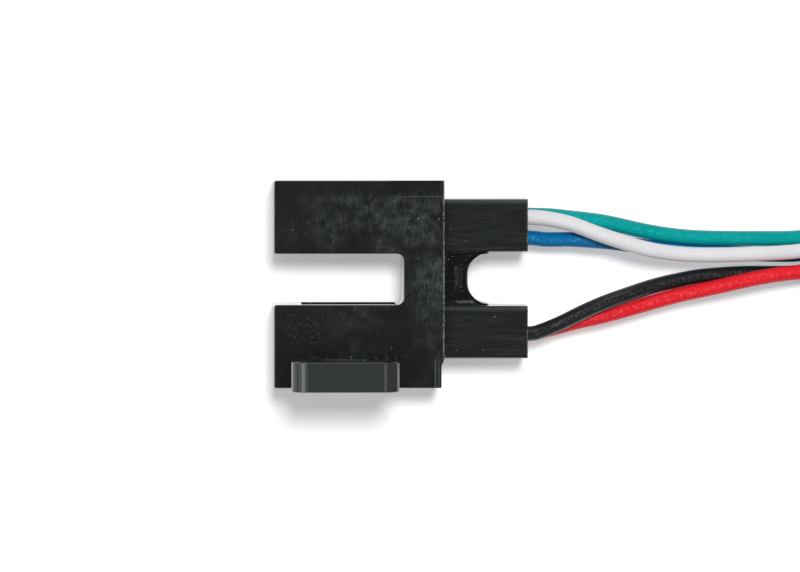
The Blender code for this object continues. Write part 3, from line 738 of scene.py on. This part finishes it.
# Painted highlight: a lighter band along each shell's upper edge.
for edge in SHELL_EDGE_HIGHLIGHTS_Y:
    lift = add_node(tree, MATH, {
        0: soft_band(tree, y, edge, 0.12 * MM), 1: 0.14, 2: lift}, operation="MULTIPLY_ADD")
colour = add_node(tree, MIX, {
    "Factor": lift, 6: linear("#080b0b"), 7: linear("#596260")}, data_type="RGBA")
motes = dots(tree, place, cell=0.4, radius=0.07, share=0.5)
colour = add_node(tree, MIX, {"Factor": motes, 6: colour, 7: linear("#a9aca2")}, data_type="RGBA")
chips = add_node(tree, NOISE, {"Vector": place, "Scale": per_mm(0.12), "Detail": 3, "Roughness": 0.7})
chips = add_node(tree, RANGE, {
    "Value": chips, "From Min": 0.42, "From Max": 0.64, "To Min": 0, "To Max": 0.8})
sawn = add_node(tree, MATH, {0: soft_band(tree, x, TAIL_X, 0.04 * MM), 1: chips}, operation="MULTIPLY")
colour = add_node(tree, MIX, {"Factor": sawn, 6: colour, 7: linear("#8d8471")}, data_type="RGBA")
wear(tree, shader, "Base Color", colour)
upright = upright_faces(tree)
dull = add_node(tree, RANGE, {"Value": upright, "To Min": 0.36, "To Max": 0.12})
wear(tree, shader, "Roughness", dull)
strength = add_node(tree, RANGE, {"Value": upright, "To Min": 0.2, "To Max": 0.02})
relief = add_node(tree, "ShaderNodeBump", {
    "Height": core_lines, "Strength": strength, "Distance": 0.02 * MM})
wear(tree, shader, "Normal", relief)
for name in ("sensor_shell", "emitter_shell"):
    bpy.data.objects[name].material_slots[0].material = shell_plastic
print("the shells wear", shell_plastic.name)

# %% [markdown]
# ## Epoxy, wires and metal
#
# Poured epoxy cures to a gloss. This bead is full of tiny bright specks, which are grains of filler and
# trapped air, 0.04 to 0.08 mm wide, in three sizes. The potting in the shells is the same resin with
# hardly any.

# %% Poured epoxy with specks
def poured_epoxy(name, speck_share):
    """A glossy black resin, in which this share of the cells holds a speck."""
    material, tree, shader = new_material(name, "#060708", 0.16, ior=1.5)
    place = add_node(tree, "ShaderNodeTexCoord").outputs["Object"]
    colour = linear("#060708")
    for cell, radius in ((0.11, 0.20), (0.17, 0.15), (0.45, 0.09)):
        specks = dots(tree, place, cell, radius, speck_share)
        colour = add_node(tree, MIX, {"Factor": specks, 6: colour, 7: linear("#7d8482")}, data_type="RGBA")
    wear(tree, shader, "Base Color", colour)
    waves = add_node(tree, NOISE, {"Vector": place, "Scale": per_mm(0.25), "Detail": 3})
    relief = add_node(tree, "ShaderNodeBump", {"Height": waves, "Strength": 0.5, "Distance": 0.03 * MM})
    wear(tree, shader, "Normal", relief)
    return material


bead_epoxy = poured_epoxy("epoxy_poured_speckled", 0.34)
bead.data.materials.append(bead_epoxy)
potting_epoxy = poured_epoxy("epoxy_potting", 0.06)
for name in ("sensor_potting", "emitter_potting"):
    bpy.data.objects[name].material_slots[0].material = potting_epoxy
print("the bead wears", bead_epoxy.name)

# %% [markdown]
# The PVC of the wires is satin, with faint ripples from the extruder. Each colour comes in two tones,
# in patches of 1.3 mm, and a paler one is painted in flecks of 0.15 mm along the upward crest as a
# highlight.

# %% PVC of five colours
def extruded_pvc(name, colour, shade, light, specular):
    """Wire insulation: a colour, a darker tone of it in patches, and a light one painted on the crest as a
    highlight.
    """
    material, tree, shader = new_material(name, colour, 0.33, ior=1.53)
    shader.inputs["Specular IOR Level"].default_value = specular
    place = add_node(tree, "ShaderNodeTexCoord").outputs["Object"]
    tones = add_node(tree, NOISE, {"Vector": place, "Scale": per_mm(1.3), "Detail": 3})
    mixed = add_node(tree, MIX, {"Factor": tones, 6: linear(colour), 7: linear(shade)}, data_type="RGBA")
    flecks = add_node(tree, NOISE, {"Vector": place, "Scale": per_mm(0.15), "Detail": 2, "Roughness": 0.6})
    # Painted highlight: flecks of the light tone on faces that look upwards.
    normal = add_node(tree, "ShaderNodeNewGeometry").outputs["Normal"]
    upward = add_node(tree, "ShaderNodeSeparateXYZ", {"Vector": normal}).outputs["Z"]
    painted_crest_highlight = add_node(tree, RANGE, {"Value": upward, "From Min": 0.86, "From Max": 0.99})
    scuff_and_highlight = add_node(tree, RANGE, {"Value": flecks, "From Min": 0.50, "From Max": 0.74})
    scuff_and_highlight = add_node(tree, MATH, {0: painted_crest_highlight, 1: scuff_and_highlight}, operation="MULTIPLY")
    mixed = add_node(tree, MIX, {"Factor": scuff_and_highlight, 6: mixed, 7: linear(light)}, data_type="RGBA")
    wear(tree, shader, "Base Color", mixed)
    satin = add_node(tree, RANGE, {
        "Value": flecks, "From Min": 0.3, "From Max": 0.7, "To Min": 0.24, "To Max": 0.42})
    wear(tree, shader, "Roughness", satin)
    relief = add_node(tree, "ShaderNodeBump", {"Height": flecks, "Strength": 0.2, "Distance": 0.02 * MM})
    wear(tree, shader, "Normal", relief)
    return material


# Each wire: its colour, a darker tone in patches, the light tone of the painted crest highlight, and its
# specular level.
PVC_TONES = {
    "blue_wire": ("#0474b0", "#0466a0", "#3f9ccf", 0.22),
    "green_wire": ("#03a4a1", "#039593", "#18c0bd", 0.15),
    "white_wire": ("#eae9eb", "#e2e0e2", "#f4f4f6", 0.3),
    "red_wire": ("#f02733", "#e6212c", "#f4656c", 0.2),
    "black_wire": ("#1b1d1e", "#161819", "#57585a", 0.5),
}
for name, tones in PVC_TONES.items():
    wires[name].data.materials.append(extruded_pvc("pvc_" + name.split("_")[0], *tones))
print("five wires wear PVC")

# %% [markdown]
# The strands and leads are copper, dipped in tin, and the solder is bare tin alloy: metal, a little dull
# where it cooled unevenly. Each package is cast epoxy: the emitter's is clear, and the sensor's is dyed
# so dark that only infrared passes. The tie is moulded nylon.

# %% Tinned copper, solder and the packages inside
def tinned_metal(name, colour, roughness):
    """Metal with a skin of tin that is duller and brighter in turns of 0.2 mm."""
    material, tree, shader = new_material(name, colour, roughness, metallic=1.0)
    place = add_node(tree, "ShaderNodeTexCoord").outputs["Object"]
    dips = add_node(tree, NOISE, {"Vector": place, "Scale": per_mm(0.2), "Detail": 3})
    dull = add_node(tree, RANGE, {"Value": dips, "To Min": roughness - 0.1, "To Max": roughness + 0.15})
    wear(tree, shader, "Roughness", dull)
    relief = add_node(tree, "ShaderNodeBump", {"Height": dips, "Strength": 0.4, "Distance": 0.02 * MM})
    wear(tree, shader, "Normal", relief)
    return material


def cast_epoxy(name, colour, clear):
    """Glossy epoxy of a package, with this share of clearness."""
    material, tree, shader = new_material(name, colour, 0.08, ior=1.55)
    shader.inputs["Transmission Weight"].default_value = clear
    place = add_node(tree, "ShaderNodeTexCoord").outputs["Object"]
    flow = add_node(tree, NOISE, {"Vector": place, "Scale": per_mm(1.0)})
    gloss = add_node(tree, RANGE, {"Value": flow, "To Min": 0.04, "To Max": 0.14})
    wear(tree, shader, "Roughness", gloss)
    return material


nylon, tree, shader = new_material("nylon_black", "#151617", 0.45, ior=1.53)
place = add_node(tree, "ShaderNodeTexCoord").outputs["Object"]
skin = add_node(tree, NOISE, {"Vector": place, "Scale": per_mm(0.5), "Detail": 3})
colour = add_node(tree, MIX, {
    "Factor": skin, 6: linear("#121314"), 7: linear("#1c1e1f")}, data_type="RGBA")
wear(tree, shader, "Base Color", colour)
wear(tree, shader, "Roughness", add_node(tree, RANGE, {"Value": skin, "To Min": 0.36, "To Max": 0.54}))
pits = add_node(tree, NOISE, {"Vector": place, "Scale": per_mm(0.1)})
relief = add_node(tree, "ShaderNodeBump", {"Height": pits, "Strength": 0.3, "Distance": 0.02 * MM})
wear(tree, shader, "Normal", relief)
tie.data.materials.append(nylon)

tinned = tinned_metal("copper_tinned", "#d9d7d2", 0.3)
solder = tinned_metal("solder_tin", "#cfd0d2", 0.25)
for piece in ends.values():
    piece.data.materials.append(tinned)
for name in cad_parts:
    if "_lead_" in name or name.endswith("_strands"):
        bpy.data.objects[name].material_slots[0].material = tinned
    elif name.endswith("_solder"):
        bpy.data.objects[name].material_slots[0].material = solder
bpy.data.objects["sensor_package"].material_slots[0].material = cast_epoxy("epoxy_infrared", "#1a0f1f", 0.3)
bpy.data.objects["emitter_package"].material_slots[0].material = cast_epoxy("epoxy_clear", "#dfe2ea", 0.9)
print("metal and lenses are set")

# %% [markdown]
# ## Light, floor and background
#
# The picture has a white ground with a short, soft shadow towards its lower edge. The key light is a
# round lamp, 10.5 degrees behind the vertical and 2 to the right, so that the floor of the slot stays
# lit. It lights without a glint of its own. Two soft boxes, one behind and one in front, fill in and
# give broad glints. A third, at the left, and a small round one at the right are there for glints
# alone: they draw the lines on the lug's corners and the wires. The floor is white card. For the
# camera it glows a little, so that it is pure white away from the shadow.

# %% Lamps and world
def lamp(name, lean_right, lean_back, distance, size, level, shows_in_gloss=True, lights_matter=True):
    """A round lamp aimed at the part. Its level is the share of full light that it gives."""
    light = bpy.data.lights.new(name, "AREA")
    light.shape = "DISK"
    light.size = size
    light.energy = level * (math.pi * distance) ** 2
    towards = Vector((math.tan(math.radians(lean_right)), math.tan(math.radians(lean_back)), 1))
    towards.normalize()
    turn = towards.to_track_quat("Z", "Y").to_matrix().to_4x4()
    made = bpy.data.objects.new(name, light)
    made.matrix_world = Matrix.Translation(distance * towards) @ turn
    made.visible_glossy = shows_in_gloss
    made.visible_diffuse = lights_matter
    bpy.context.scene.collection.objects.link(made)
    return made


lamp("lamp_top", lean_right=2, lean_back=10.5, distance=1.0, size=0.17, level=0.74, shows_in_gloss=False)
lamp("softbox_back", lean_right=5, lean_back=52, distance=0.9, size=0.35, level=0.07)
lamp("softbox_front", lean_right=-15, lean_back=-48, distance=0.9, size=0.30, level=0.03)
lamp("softbox_left", lean_right=-34, lean_back=0, distance=0.9, size=0.55, level=0.24, lights_matter=False)
lamp("glint_right", lean_right=12, lean_back=-2, distance=0.9, size=0.04, level=0.004, lights_matter=False)
world = bpy.data.worlds.new("studio")
world.use_nodes = True
world.node_tree.nodes["Background"].inputs["Color"].default_value = linear("#b4b6b8")
world.node_tree.nodes["Background"].inputs["Strength"].default_value = 0.40
bpy.context.scene.world = world
bpy.context.scene.view_settings.view_transform = "Standard"
print("five lamps and a grey world")

# %% The floor
FLOOR_GLOW = 0.35
FLOOR_HALF = 1.5  # metres from its middle to each side

floor_card, tree, shader = new_material("card_white", "#f2f2f2", 0.9)
rays = add_node(tree, "ShaderNodeLightPath")
seen = add_node(tree, MATH, {
    0: rays.outputs["Is Camera Ray"], 1: rays.outputs["Is Glossy Ray"]}, operation="ADD")
seen = add_node(tree, MATH, {0: seen, 1: rays.outputs["Is Transmission Ray"]}, operation="ADD")
wear(tree, shader, "Emission Strength", add_node(tree, MATH, {0: seen, 1: FLOOR_GLOW}, operation="MULTIPLY"))
shader.inputs["Specular IOR Level"].default_value = 0.0
shader.inputs["Emission Color"].default_value = (1, 1, 1, 1)
form = bmesh.new()
bmesh.ops.create_grid(form, x_segments=1, y_segments=1, size=FLOOR_HALF,
                      matrix=Matrix.Translation((0, 0, -0.02 * MM)))
floor_mesh = bpy.data.meshes.new("floor")
form.to_mesh(floor_mesh)
form.free()
floor_mesh.materials.append(floor_card)
floor = bpy.data.objects.new("floor", floor_mesh)
bpy.context.scene.collection.objects.link(floor)
print("the floor is", 2 * FLOOR_HALF, "m wide")
